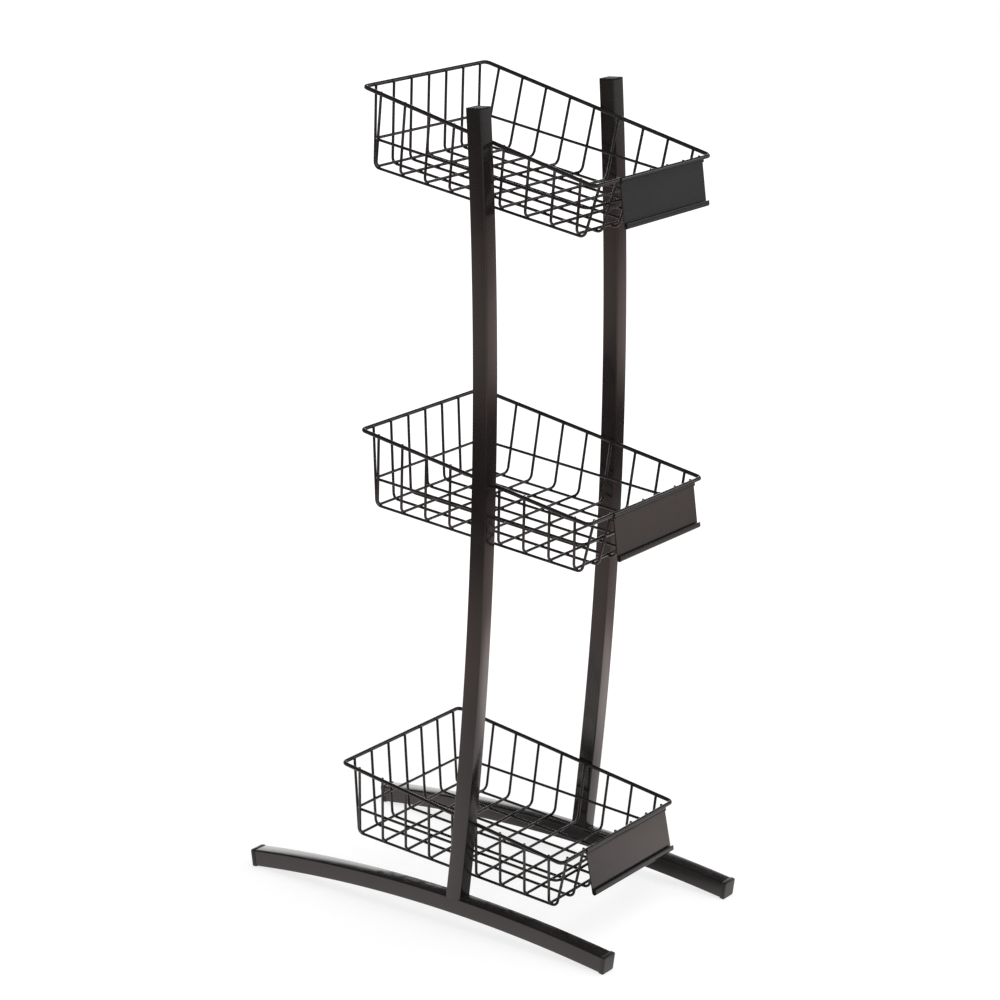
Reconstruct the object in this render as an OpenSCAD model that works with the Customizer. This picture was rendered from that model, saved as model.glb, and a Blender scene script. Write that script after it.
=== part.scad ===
// Free-standing wire basket stand for a shop: two bowed side frames on arched feet
// carry three sloping wire baskets, and each basket has a clip-on ticket holder in front.
// X runs across the stand, the customer stands in front of it at -Y, and Z is up.

/* [Side frames] */
// Clear width between the two side frames
frame_gap = 253; // [200:1:320]
// Side of the square tube
tube = 22; // [18:1:24]
// Wall of the square tube
tube_wall = 1.5; // [1.2:0.1:2]
// Outer corner radius of the square tube
tube_corner = 2; // [1.8:0.1:2.5]
// Height of the cut top end of each upright, on its centre line
upright_height = 1035; // [1000:1:1200]
// Radius of the bow of each upright
upright_radius = 5400; // [4500:50:8000]
// How far the bow's foremost point lies in front of the middle of the foot
upright_reach = 90; // [70:1:110]
// Height of the bow's foremost point
upright_bow_height = 700; // [600:10:800]

/* [Feet] */
// Distance between the two cut ends of a foot bar
foot_span = 544; // [480:4:640]
// Rise of the foot bar's arch from its ends to its middle
foot_rise = 19; // [15:0.2:26]

/* [Caps] */
// Thickness of a foot cap's flange
foot_cap_flange = 6.5; // [4:0.5:8]
// How far a foot cap stands out past the tube's sides
foot_cap_lip = 0.7; // [0.2:0.1:1]
// Edge chamfer of a foot cap
foot_cap_chamfer = 1.2; // [0.6:0.1:1.8]
// Depth of the flat where a foot cap rests on the floor
foot_cap_flat = 0.4; // [0.2:0.1:0.6]
// Thickness of an upright plug's flange
plug_flange = 2; // [1.5:0.5:4]
// Edge chamfer of an upright plug
plug_chamfer = 0.5; // [0.2:0.1:0.8]
// Length of the ribbed insert of a cap or plug
insert_length = 14; // [10:1:20]
// Wall of the insert
insert_wall = 1.4; // [1:0.1:2]
// Height of the insert's ribs
insert_rib = 0.7; // [0.4:0.1:1]
// Clearance between the insert's ribs and the tube
insert_clear = 0.15; // [0.1:0.05:0.3]

/* [Baskets] */
// Length of the rim's centre line, measured along the basket's floor
basket_length = 343.5; // [300:0.5:400]
// Height of the rim above the floor wires at the front
basket_front = 67; // [50:1:80]
// Height of the rim above the floor wires at the back
basket_back = 97; // [85:1:120]
// Thickness of the rim wire
rim_wire = 5; // [3.5:0.5:6]
// Bend radius of the rim's corners
rim_bend = 7; // [6:1:16]
// Thickness of the infill wires
thin_wire = 3.5; // [2.5:0.5:4]
// Bend radius of the infill wires
thin_bend = 8; // [7:0.5:9]
// How much farther out the rim is than the floor's edge at the sides
side_flare = 11.75; // [10:0.05:20]
// How much farther out the rim is than the floor's edge at the front
front_flare = 15.45; // [12:0.05:20]
// How much farther out the rim is than the floor's edge at the back
back_flare = 16.9; // [12:0.05:20]
// Number of wires across the floor
cross_count = 9; // [5:2:13]
// Distance of the outer cross wires from the floor's front and back edges
cross_inset = 7; // [6.5:0.1:12]
// Number of wires along the floor
long_count = 7; // [5:2:9]
// Distance of the outer long wires from the floor's side edges
long_inset = 7; // [4:0.5:14]
// Height of the ring of wire above the floor wires
ring_height = 34.8; // [25:0.2:40]
// How far the wires' ends stand above the rim's centre line
wire_proud = 1; // [0:0.2:2.6]
// Gap left between wires and tubes that are welded together
weld_gap = 0.05; // [0.02:0.01:0.1]

/* [Tiers] */
// How far below the uprights' cut top ends the top basket's rim crosses them
top_drop = 38.5; // [20:0.1:200]
// How far the middle of the top rim lies behind the uprights
top_setback = 15.75; // [0:0.25:60]
// Slope of the top basket's floor, lower in front
top_slope = 8.9; // [2:0.1:14]
// Height where the middle basket's rim crosses the uprights
middle_height = 579.8; // [520:0.1:640]
// How far the middle of the middle rim lies behind the uprights
middle_setback = 27.75; // [0:0.25:60]
// Slope of the middle basket's floor, lower in front
middle_slope = 5.1; // [2:0.1:10]
// Height where the bottom basket's rim crosses the uprights
bottom_height = 137; // [134:0.1:200]
// How far the middle of the bottom rim lies behind the uprights
bottom_setback = 33.75; // [0:0.25:60]
// Slope of the bottom basket's floor, lower in front
bottom_slope = 3.7; // [2:0.1:5]

/* [Ticket holders] */
// Length of a ticket holder
holder_length = 176; // [120:2:200]
// How far a ticket holder's middle lies to the right of the basket's middle
holder_shift = 15; // [0:1:20]
// Length of a ticket holder's face below the rim's centre line
holder_drop = 55; // [40:1:70]
// Thickness of a ticket holder's face and of its bottom hook
holder_wall = 1.6; // [1.2:0.1:2]
// Radius of the outside of the bottom hook
hook_radius = 3; // [2.6:0.1:4]
// Height of the hook's front lip
hook_lip = 4; // [2:0.5:8]
// Wall of the clip that grips the rim
clip_wall = 1.5; // [1.2:0.1:1.6]
// Clearance between the clip and the rim wire
clip_clear = 0.08; // [0.05:0.01:0.1]
// How much of a turn the clip reaches round the rim
clip_wrap = 190; // [185:1:200]
// Width of the slot behind the clip's ticket lip
ticket_slot = 0.8; // [0.5:0.1:1.2]
// Length of the clip's ticket lip below the rim's centre line
ticket_lip = 5; // [4:0.5:8]
// Lean of the top ticket holder's face
top_holder_lean = 7.5; // [3:0.5:30]
// Lean of the middle ticket holder's face
middle_holder_lean = 7.5; // [3:0.5:30]
// Lean of the bottom ticket holder's face
bottom_holder_lean = 11.5; // [3:0.5:30]

/* [Hidden] */

fine = 48;
smooth = 96;
large = 1440;
cut = 1;

// At a bend a wire draws in by a hair, and its straight lengths run a little into the bend
draw_in = 0.01;
lap = 0.05;

black = "#26262a";
plastic = "#3a3a3e";

frame_x = frame_gap / 2 + tube / 2;
rim_r = rim_wire / 2;
thin_r = thin_wire / 2;

// Foot arch: its radius, the slope at its ends, and the height that lets the caps touch the floor
foot_radius = (pow(foot_span / 2, 2) + pow(foot_rise, 2)) / (2 * foot_rise);
foot_end_angle = asin(foot_span / 2 / foot_radius);
foot_cap_half = tube / 2 + foot_cap_lip;
foot_end_height = foot_cap_half * cos(foot_end_angle)
  + (foot_cap_flange - foot_cap_chamfer) * sin(foot_end_angle) - foot_cap_flat;
foot_crown = foot_end_height + foot_rise;

// Insert: its root runs a little into the flange, and a plain tail is left below its last rib
insert_root = 0.5;
insert_ribs = 3;
insert_rib_thick = 1.1;
insert_tail = 0.6;
insert_pitch = insert_length / (insert_ribs + insert_tail);

// Upright bow: the centre of its curve, and the centre line's Y at a height
bow_y = upright_radius - upright_reach;
bow_z = upright_bow_height;
function bow_angle(z) = 180 - asin((z - bow_z) / upright_radius);
function upright_y(z) = bow_y + upright_radius * cos(bow_angle(z));

// Basket: half sizes of the rim, and the floor's edges in the floor's own directions
rim_half_width = frame_gap / 2 - rim_r - weld_gap;
rim_slope = atan((basket_back - basket_front) / basket_length);
rim_half_length = basket_length / 2 / cos(rim_slope);
rim_middle = (basket_front + basket_back) / 2;
floor_half = rim_half_width - side_flare;
floor_front = front_flare - basket_length / 2;
floor_back = basket_length / 2 - back_flare;
cross_level = thin_r + weld_gap / 2;
long_level = -cross_level;
touch_rim = rim_r + thin_r + weld_gap;
touch_thin = 2 * thin_r + weld_gap;

function rim_level(v) = rim_middle + v * tan(rim_slope);
// Lean of a wire that starts out, up below the rim and passes it at the touching distance
function lean(out, up) = atan2(out, up) - asin(touch_rim / norm([out, up]));
function side_lean(v) = lean(side_flare, rim_level(v) - cross_level);
front_lean = lean(front_flare, basket_front - long_level);
back_lean = lean(back_flare, basket_back - long_level);

cross_pitch = (floor_back - floor_front - 2 * cross_inset) / (cross_count - 1);
function cross_v(i) = floor_front + cross_inset + i * cross_pitch;
long_pitch = 2 * (floor_half - long_inset) / (long_count - 1);
function long_x(i) = (i - (long_count - 1) / 2) * long_pitch;

// Ring: its sides follow the leaning cross wires, eased where those bow in between its ends
ring_ease = 0.15;
function ring_half(v) = floor_half + (ring_height - cross_level) * tan(side_lean(v))
  - touch_thin / cos(side_lean(v)) - ring_ease;
ring_front = floor_front - (ring_height - long_level) * tan(front_lean) + touch_thin / cos(front_lean);
ring_back = floor_back + (ring_height - long_level) * tan(back_lean) - touch_thin / cos(back_lean);
ring_v0 = cross_v(0);
ring_v1 = cross_v(cross_count - 1);
ring_taper = (ring_half(ring_v1) - ring_half(ring_v0)) / (ring_v1 - ring_v0);
function ring_x(v) = ring_half(ring_v0) + (v - ring_v0) * ring_taper;

// Tiers: rim crossing height, setback, floor slope and holder lean
top_height = upright_height - top_drop;
tiers = [
  [top_height, top_setback, top_slope, top_holder_lean],
  [middle_height, middle_setback, middle_slope, middle_holder_lean],
  [bottom_height, bottom_setback, bottom_slope, bottom_holder_lean]
];
TOP = 0;
MIDDLE = 1;
BOTTOM = 2;

// Ticket holder: the clip's bore and outside, and the direction its wrap is centred on
clip_bore = rim_r + clip_clear;
clip_outer = clip_bore + clip_wall;
clip_aim = -45;
holder_back = 0.2;
holder_front = holder_back + holder_wall;
lip_wall = 0.9;
hook_x = holder_back + hook_radius;

// Rounded square, centred
module rounded_square(w, r) {
  square([w - 2 * r, w], center = true);
  square([w, w - 2 * r], center = true);
  for (x = [-1, 1], y = [-1, 1])
    translate([x * (w / 2 - r), y * (w / 2 - r)])
      circle(r, $fn = fine);
}

module tube_profile() {
  difference() {
    rounded_square(tube, tube_corner);
    rounded_square(tube - 2 * tube_wall, tube_corner - tube_wall);
  }
}

// Sweeps a profile about X along an arc from one angle to another, 0 at +Y and 90 at +Z
module yz_arc(radius, from, to) {
  rotate([90, 0, 90])
    rotate([0, 0, from])
      rotate_extrude(angle = to - from, $fn = large)
        translate([radius, 0])
          children();
}

// Straight round wire between two points
module rod(a, b, r) {
  d = b - a;
  translate(a)
    rotate([0, acos(d.z / norm(d)), atan2(d.y, d.x)])
      cylinder(h = norm(d), r = r, $fn = fine);
}

// Bend at corner p between directions d1 and d2, with the given bend radius
module bend(p, d1, d2, radius, r) {
  turn = acos(d1 * d2);
  centre = p + (d2 - d1) / norm(d2 - d1) * radius / cos(turn / 2);
  start = p - d1 * radius * tan(turn / 2);
  e = (start - centre) / radius;
  n = cross(e, d1);
  multmatrix([
    [e.x, d1.x, n.x, centre.x],
    [e.y, d1.y, n.y, centre.y],
    [e.z, d1.z, n.z, centre.z],
    [0, 0, 0, 1]
  ])
    rotate_extrude(angle = turn, $fn = smooth)
      translate([radius, 0])
        circle(r, $fn = fine);
}

function unit(a) = a / norm(a);
// Length that a bend takes from each leg at corner b of points a, b, c
function leg(a, b, c, radius) = radius * tan(acos(unit(b - a) * unit(c - b)) / 2);

// Wire bent along points, open or closed into a ring
module wire_path(points, r, radius, closed = false) {
  n = len(points);
  last = closed ? n - 1 : n - 2;
  function at(i) = points[(i + n) % n];
  function is_bend(i) = closed || (i > 0 && i < n - 1);
  function start(i) = is_bend(i) ? leg(at(i - 1), at(i), at(i + 1), radius) - lap : 0;
  for (i = [0 : last]) {
    d = unit(at(i + 1) - at(i));
    rod(at(i) + d * start(i), at(i + 1) - d * start((i + 1) % n), r);
  }
  for (i = [0 : n - 1])
    if (is_bend(i))
      bend(at(i), unit(at(i) - at(i - 1)), unit(at(i + 1) - at(i)), radius, r - draw_in);
}

// Square flange with chamfered outer edges, standing on z = 0
module flange(w, t, chamfer, r) {
  intersection() {
    linear_extrude(t)
      rounded_square(w, r);
    for (turn = [0, 90])
      rotate([0, 0, turn])
        rotate([90, 0, 0])
          linear_extrude(2 * w, center = true)
            polygon([
              [-w / 2, -cut], [w / 2, -cut], [w / 2, t - chamfer],
              [w / 2 - chamfer, t], [chamfer - w / 2, t], [-w / 2, t - chamfer]
            ]);
  }
}

// Hollow ribbed insert that hangs below z = 0 inside a tube
module insert_body() {
  rib_w = tube - 2 * tube_wall - 2 * insert_clear;
  core_w = rib_w - 2 * insert_rib;
  difference() {
    union() {
      translate([-core_w / 2, -core_w / 2, -insert_length])
        cube([core_w, core_w, insert_length + insert_root]);
      for (i = [1 : insert_ribs])
        translate([-rib_w / 2, -rib_w / 2, -i * insert_pitch])
          cube([rib_w, rib_w, insert_rib_thick]);
    }
    translate([insert_wall - core_w / 2, insert_wall - core_w / 2, -insert_length - cut])
      cube([core_w - 2 * insert_wall, core_w - 2 * insert_wall, insert_length + cut]);
  }
}

// Square tube along the foot's arch
module foot_bar() {
  translate([0, 0, foot_crown - foot_radius])
    yz_arc(foot_radius, 90 - foot_end_angle, 90 + foot_end_angle)
      tube_profile();
}

// Everything under the foot bar's top face, grown by the weld gap
module foot_shadow() {
  translate([0, 0, foot_crown - foot_radius])
    yz_arc(foot_radius, 90 - foot_end_angle / 2, 90 + foot_end_angle / 2)
      translate([-2 * tube, -tube])
        square([2.5 * tube + weld_gap, 2 * tube]);
}

// Square tube along the upright's bow, coped to stand on the foot bar
module upright() {
  difference() {
    translate([0, bow_y, bow_z])
      yz_arc(upright_radius, bow_angle(upright_height), bow_angle(foot_crown))
        tube_profile();
    foot_shadow();
  }
}

// Cap in a foot bar's end: side is -1 in front and 1 at the back
module foot_cap(side) {
  difference() {
    translate([0, side * foot_span / 2, foot_end_height])
      rotate([-side * (90 + foot_end_angle), 0, 0]) {
        flange(2 * foot_cap_half, foot_cap_flange, foot_cap_chamfer, tube_corner);
        insert_body();
      }
    translate([-tube, side * foot_span / 2 - 2 * tube, -tube])
      cube([2 * tube, 4 * tube, tube]);
  }
}

// Plug in an upright's top end
module upright_plug() {
  translate([0, upright_y(upright_height), upright_height])
    rotate([bow_angle(upright_height) - 180, 0, 0]) {
      flange(tube, plug_flange, plug_chamfer, tube_corner);
      insert_body();
    }
}

// Moves a basket from its own floor directions to its place on the uprights
module in_tier(t) {
  height = tiers[t][0];
  setback = tiers[t][1];
  slope = tiers[t][2];
  rim_tilt = slope + rim_slope;
  translate([0, upright_y(height) + setback * cos(rim_tilt), height + setback * sin(rim_tilt)])
    rotate([slope, 0, 0])
      translate([0, 0, -rim_middle])
        children();
}

module rim(t) {
  w = rim_half_width;
  l = rim_half_length;
  in_tier(t)
    translate([0, 0, rim_middle])
      rotate([rim_slope, 0, 0])
        wire_path([[-w, -l, 0], [w, -l, 0], [w, l, 0], [-w, l, 0]], rim_r, rim_bend, true);
}

module ring(t) {
  front = [ring_x(ring_front), ring_front, ring_height];
  back = [ring_x(ring_back), ring_back, ring_height];
  flip = [[-1, 0, 0], [0, 1, 0], [0, 0, 1]];
  in_tier(t)
    wire_path([flip * front, front, back, flip * back], thin_r, thin_bend, true);
}

// One U-shaped wire across the basket, at v along the floor
module cross_wire(v) {
  rise = rim_level(v) + wire_proud - cross_level;
  top_x = floor_half + rise * tan(side_lean(v));
  top_z = cross_level + rise;
  wire_path([
    [-top_x, v, top_z], [-floor_half, v, cross_level],
    [floor_half, v, cross_level], [top_x, v, top_z]
  ], thin_r, thin_bend);
}

// One U-shaped wire along the basket, at x
module long_wire(x) {
  front_rise = basket_front + wire_proud - long_level;
  back_rise = basket_back + wire_proud - long_level;
  wire_path([
    [x, floor_front - front_rise * tan(front_lean), long_level + front_rise],
    [x, floor_front, long_level],
    [x, floor_back, long_level],
    [x, floor_back + back_rise * tan(back_lean), long_level + back_rise]
  ], thin_r, thin_bend);
}

module cross_wires(t) {
  in_tier(t)
    for (i = [0 : cross_count - 1])
      cross_wire(cross_v(i));
}

module long_wires(t) {
  in_tier(t)
    for (i = [0 : long_count - 1])
      long_wire(long_x(i));
}

// Ticket holder along X: x is out of its face, y is up its face, and the rim is at the origin
module holder_profile_body() {
  translate([-holder_length / 2, 0, 0])
    rotate([90, 0, 90])
      difference() {
        union() {
          cylinder(h = holder_length, r = clip_outer, $fn = smooth);
          translate([holder_back, -holder_drop, 0])
            cube([holder_wall, holder_drop, holder_length]);
          translate([holder_front + ticket_slot, -ticket_lip, 0])
            cube([lip_wall, ticket_lip, holder_length]);
          translate([hook_x, -holder_drop, 0])
            hook();
        }
        translate([0, 0, -cut])
          cylinder(h = holder_length + 2 * cut, r = clip_bore, $fn = smooth);
        clip_mouth();
      }
}

// Half-round channel with a front lip, open upwards
module hook() {
  inner = hook_radius - holder_wall;
  difference() {
    cylinder(h = holder_length, r = hook_radius, $fn = smooth);
    translate([0, 0, -cut])
      cylinder(h = holder_length + 2 * cut, r = inner, $fn = smooth);
    translate([-2 * hook_radius, 0, -cut])
      cube([4 * hook_radius, 2 * hook_radius, holder_length + 2 * cut]);
  }
  translate([inner, 0, 0])
    cube([holder_wall, hook_lip, holder_length]);
}

// Wedge that opens the clip away from its aim
module clip_mouth() {
  reach = 3 * clip_outer;
  half = (360 - clip_wrap) / 2;
  rotate([0, 0, clip_aim + 180])
    translate([0, 0, -cut])
      linear_extrude(holder_length + 2 * cut)
        polygon([[0, 0], [reach * cos(half), -reach * sin(half)], [reach, 0], [reach * cos(half), reach * sin(half)]]);
}

module ticket_holder(t) {
  slope = tiers[t][2];
  face_lean = tiers[t][3];
  in_tier(t)
    translate([holder_shift, -basket_length / 2, basket_front])
      rotate([-slope, 0, 0])
        rotate([-face_lean, 0, 0])
          mirror([0, 1, 0])
            holder_profile_body();
}

module left() {
  translate([-frame_x, 0, 0])
    children();
}

module right() {
  translate([frame_x, 0, 0])
    children();
}

module left_foot_bar() { color(black) left() foot_bar(); }
module right_foot_bar() { color(black) right() foot_bar(); }
module left_upright() { color(black) left() upright(); }
module right_upright() { color(black) right() upright(); }
module left_front_cap() { color(plastic) left() foot_cap(-1); }
module left_rear_cap() { color(plastic) left() foot_cap(1); }
module right_front_cap() { color(plastic) right() foot_cap(-1); }
module right_rear_cap() { color(plastic) right() foot_cap(1); }
module left_upright_plug() { color(plastic) left() upright_plug(); }
module right_upright_plug() { color(plastic) right() upright_plug(); }
module top_rim() { color(black) rim(TOP); }
module top_ring() { color(black) ring(TOP); }
module top_cross_wires() { color(black) cross_wires(TOP); }
module top_long_wires() { color(black) long_wires(TOP); }
module top_ticket_holder() { color(plastic) ticket_holder(TOP); }
module middle_rim() { color(black) rim(MIDDLE); }
module middle_ring() { color(black) ring(MIDDLE); }
module middle_cross_wires() { color(black) cross_wires(MIDDLE); }
module middle_long_wires() { color(black) long_wires(MIDDLE); }
module middle_ticket_holder() { color(plastic) ticket_holder(MIDDLE); }
module bottom_rim() { color(black) rim(BOTTOM); }
module bottom_ring() { color(black) ring(BOTTOM); }
module bottom_cross_wires() { color(black) cross_wires(BOTTOM); }
module bottom_long_wires() { color(black) long_wires(BOTTOM); }
module bottom_ticket_holder() { color(plastic) ticket_holder(BOTTOM); }

left_foot_bar();
right_foot_bar();
left_upright();
right_upright();
left_front_cap();
left_rear_cap();
right_front_cap();
right_rear_cap();
left_upright_plug();
right_upright_plug();
top_rim();
top_ring();
top_cross_wires();
top_long_wires();
top_ticket_holder();
middle_rim();
middle_ring();
middle_cross_wires();
middle_long_wires();
middle_ticket_holder();
bottom_rim();
bottom_ring();
bottom_cross_wires();
bottom_long_wires();
bottom_ticket_holder();
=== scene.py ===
from math import acos, asin, atan, atan2, cos, degrees, hypot, pi, radians, sin, sqrt, tan

import bmesh
import bpy
from mathutils import Matrix, Vector


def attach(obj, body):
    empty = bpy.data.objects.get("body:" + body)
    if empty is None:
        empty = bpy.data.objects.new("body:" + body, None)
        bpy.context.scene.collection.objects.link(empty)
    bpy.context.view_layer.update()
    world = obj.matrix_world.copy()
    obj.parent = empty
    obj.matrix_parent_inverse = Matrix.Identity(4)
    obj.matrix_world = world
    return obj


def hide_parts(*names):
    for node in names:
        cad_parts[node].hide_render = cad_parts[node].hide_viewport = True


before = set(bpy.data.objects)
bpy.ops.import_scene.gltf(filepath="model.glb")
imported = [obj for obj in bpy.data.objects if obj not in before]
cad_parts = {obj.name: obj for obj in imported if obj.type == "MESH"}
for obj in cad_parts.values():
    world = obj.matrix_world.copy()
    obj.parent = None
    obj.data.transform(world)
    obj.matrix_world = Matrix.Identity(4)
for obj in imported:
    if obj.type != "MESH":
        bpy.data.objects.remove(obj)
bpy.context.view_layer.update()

# A free-standing wire basket stand: two bowed tube frames, three sloping wire baskets
# and a clip-on ticket holder on each basket's front.
# Pieces are drawn in millimetres and scaled to metres as they are finished.

print("frame loaded:", len(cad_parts), "parts")


# Small tools for drawing with bmesh

drawing = {"toMetres": 0.001, "merge": 0.004, "cut": 0.0001, "sharp": 40}


def shift(x=0.0, y=0.0, z=0.0):
    return Matrix.Translation((x, y, z))


def turn(angle, axis="X"):
    return Matrix.Rotation(radians(angle), 4, axis)


def facing(place, way, forward="Z"):
    # a frame at a place, with one of its axes along a direction
    return Matrix.Translation(place) @ way.to_track_quat(forward, "Y").to_matrix().to_4x4()


def vertsOf(geometry):
    return [g for g in geometry if isinstance(g, bmesh.types.BMVert)]


def edgesOf(geometry):
    return [g for g in geometry if isinstance(g, bmesh.types.BMEdge)]


def loopVerts(loop):
    return list({v for e in loop for v in e.verts})


def pushed(bm, loop, move, scale=1.0, centre=(0, 0, 0)):
    # draws a loop of edges out by a move, and scales its new end about a centre
    new = bmesh.ops.extrude_edge_only(bm, edges=loop)["geom"]
    verts = vertsOf(new)
    known = set(verts)
    bmesh.ops.translate(bm, verts=verts, vec=move)
    if scale != 1.0:
        bmesh.ops.scale(bm, verts=verts, vec=(scale,) * 3,
                        space=Matrix.Translation(-Vector(centre)))
    return [e for e in edgesOf(new) if e.verts[0] in known and e.verts[1] in known]


def stepped(bm, loop, matrix, profile, scale=1.0, level=0.0):
    # draws a loop along a frame's Z through steps of a scale and a level
    up = matrix.to_3x3() @ Vector((0, 0, 1))
    for nextScale, nextLevel in profile:
        centre = matrix @ Vector((0, 0, nextLevel))
        loop = pushed(bm, loop, up * (nextLevel - level), nextScale / scale, centre)
        scale, level = nextScale, nextLevel
    return loop


def spun(bm, geometry, centre, axis, angle, steps):
    # turns edges or a point about an axis, leaves a surface or a line, and gives the new end
    return bmesh.ops.spin(bm, geom=geometry, cent=centre, axis=axis, dvec=(0, 0, 0), angle=angle,
                          steps=steps, use_merge=False, use_duplicate=False)["geom_last"]


def swept(bm, loop, centre, axis, angle, steps):
    return edgesOf(spun(bm, loop, centre, axis, angle, steps))


def closed(bm, loop):
    bmesh.ops.edgeloop_fill(bm, edges=loop)


def rounded(bm, geometry, offset, segments, affect="VERTICES"):
    bmesh.ops.bevel(bm, geom=geometry, offset=offset, offset_type="OFFSET", segments=segments,
                    profile=0.5, affect=affect, material=-1)


def cutBelow(bm, place, normal):
    # removes what lies behind a plane and gives the edges of the opening
    bmesh.ops.bisect_plane(bm, geom=bm.verts[:] + bm.edges[:] + bm.faces[:],
                           dist=drawing["cut"], plane_co=place, plane_no=normal, clear_inner=True)
    return [e for e in bm.edges if e.is_boundary]


def circleLoop(bm, radius, sides, matrix):
    verts = bmesh.ops.create_circle(bm, cap_ends=False, segments=sides, radius=radius,
                                    matrix=matrix)["verts"]
    return list({e for v in verts for e in v.link_edges})


def squareLoop(bm, side, corner, segments, matrix):
    # a square with round corners
    before = set(bm.edges)
    verts = bmesh.ops.create_circle(bm, cap_ends=False, segments=4, radius=side / sqrt(2),
                                    matrix=turn(45, "Z"))["verts"]
    edges = [e for e in bm.edges if e not in before]
    rounded(bm, verts + edges, corner, segments)
    edges = [e for e in bm.edges if e not in before]
    bmesh.ops.transform(bm, matrix=matrix, verts=loopVerts(edges))
    return edges


def blob(bm, matrix, sides=8, rings=5):
    bmesh.ops.create_uvsphere(bm, u_segments=sides, v_segments=rings, radius=1.0, matrix=matrix)


def finishPiece(bm, name, material, body, nodes,
                sharp=drawing["sharp"], merge=drawing["merge"]):
    bmesh.ops.remove_doubles(bm, verts=bm.verts, dist=merge)
    bmesh.ops.recalc_face_normals(bm, faces=bm.faces)
    bmesh.ops.scale(bm, verts=bm.verts, vec=(drawing["toMetres"],) * 3)
    mesh = bpy.data.meshes.new(name)
    bm.to_mesh(mesh)
    bm.free()
    mesh.shade_smooth()
    mesh.set_sharp_from_angle(angle=radians(sharp))
    mesh.materials.append(material)
    piece = bpy.data.objects.new(name, mesh)
    bpy.context.scene.collection.objects.link(piece)
    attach(piece, body)
    if nodes:
        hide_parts(*nodes)


# Shader nodes written as sums

class Signal:
    # a value in a material; sums on it add Math nodes
    def __init__(self, recipe, socket):
        self.recipe = recipe
        self.socket = socket

    def maths(self, operation, first, second):
        return self.recipe.add("ShaderNodeMath", {"operation": operation}, {0: first, 1: second})

    def __add__(self, other):
        return self.maths("ADD", self, other)

    def __radd__(self, other):
        return self.maths("ADD", other, self)

    def __sub__(self, other):
        return self.maths("SUBTRACT", self, other)

    def __rsub__(self, other):
        return self.maths("SUBTRACT", other, self)

    def __mul__(self, other):
        return self.maths("MULTIPLY", self, other)

    def __rmul__(self, other):
        return self.maths("MULTIPLY", other, self)


class Recipe:
    # a node tree being written, for a material or for the world
    def __init__(self, owner):
        owner.use_nodes = True
        self.owner = owner
        self.tree = owner.node_tree
        self.tree.nodes.clear()

    def add(self, kind, settings=None, inputs=None, output=0):
        node = self.tree.nodes.new(kind)
        for key, value in (settings or {}).items():
            setattr(node, key, value)
        for key, value in (inputs or {}).items():
            if isinstance(value, Signal):
                self.tree.links.new(value.socket, node.inputs[key])
            else:
                node.inputs[key].default_value = value
        return Signal(self, node.outputs[output])

    def place(self):
        return self.add("ShaderNodeTexCoord", output="Object")

    def noise(self, scale, detail=2.0, roughness=0.5, place=None):
        return self.add("ShaderNodeTexNoise", {}, {
            "Vector": place or self.place(), "Scale": scale, "Detail": detail,
            "Roughness": roughness})

    def spread(self, value, low, high, newLow=0.0, newHigh=1.0):
        return self.add("ShaderNodeMapRange", {"interpolation_type": "SMOOTHSTEP"}, {
            "Value": value, "From Min": low, "From Max": high, "To Min": newLow,
            "To Max": newHigh})

    def blend(self, factor, first, second):
        return self.add("ShaderNodeMix", {"data_type": "RGBA"}, {0: factor, 6: first, 7: second},
                        output=2)

    def bump(self, height, depth, under=None):
        # the ripples of one more layer, over those of the layer under it
        inputs = {"Height": height, "Distance": depth}
        if under is not None:
            inputs["Normal"] = under
        return self.add("ShaderNodeBump", {}, inputs)

    def vector(self, operation, first, second=None, output=0):
        inputs = {0: first} if second is None else {0: first, 1: second}
        return self.add("ShaderNodeVectorMath", {"operation": operation}, inputs, output)

    def heightOf(self, vector):
        return self.add("ShaderNodeSeparateXYZ", {}, {"Vector": vector}, output="Z")

    def surface(self, shader, kind="ShaderNodeOutputMaterial"):
        self.tree.links.new(shader.socket, self.tree.nodes.new(kind).inputs["Surface"])

    def coat(self, colour, roughness, normal, ior):
        self.surface(self.add("ShaderNodeBsdfPrincipled", {}, {
            "Base Color": colour, "Roughness": roughness, "Normal": normal, "IOR": ior}))
        return self.owner


# Finishes

noiseMiddle = 0.5

paint = {
    "ior": 1.58, "facingUp": (0.45, 0.95),
    "broad": {"scale": 16.0, "detail": 3.0}, "wear": (0.35, 0.7),
    "specks": {"scale": 700.0}, "speckle": (0.3, 0.7, 0.5, 1.0),
    "dust": {"scale": 60.0, "detail": 4.0, "roughness": 0.65}, "dustPatches": (0.35, 0.75),
    "dustRoughens": 0.05, "peelDetail": 1.5,
}
tubePaintLook = {
    "colour": (0.0115, 0.0095, 0.0092, 1), "worn": (0.017, 0.0145, 0.014, 1),
    "dust": (0.05, 0.047, 0.044, 1), "dustShare": 0.10, "roughness": 0.15, "uneven": 0.06,
    "peelScale": 420.0, "peelDepth": 0.000018, "grainScale": 2600.0, "grainDepth": 0.000003,
}
wirePaintLook = {
    "colour": (0.0105, 0.0092, 0.0090, 1), "worn": (0.016, 0.014, 0.0135, 1),
    "dust": (0.05, 0.047, 0.044, 1), "dustShare": 0.06, "roughness": 0.20, "uneven": 0.08,
    "peelScale": 180.0, "peelDepth": 0.00001, "grainScale": 1500.0, "grainDepth": 0.000003,
}
weldPaintLook = dict(wirePaintLook, peelScale=900.0, peelDepth=0.00015, roughness=0.30)


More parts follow.
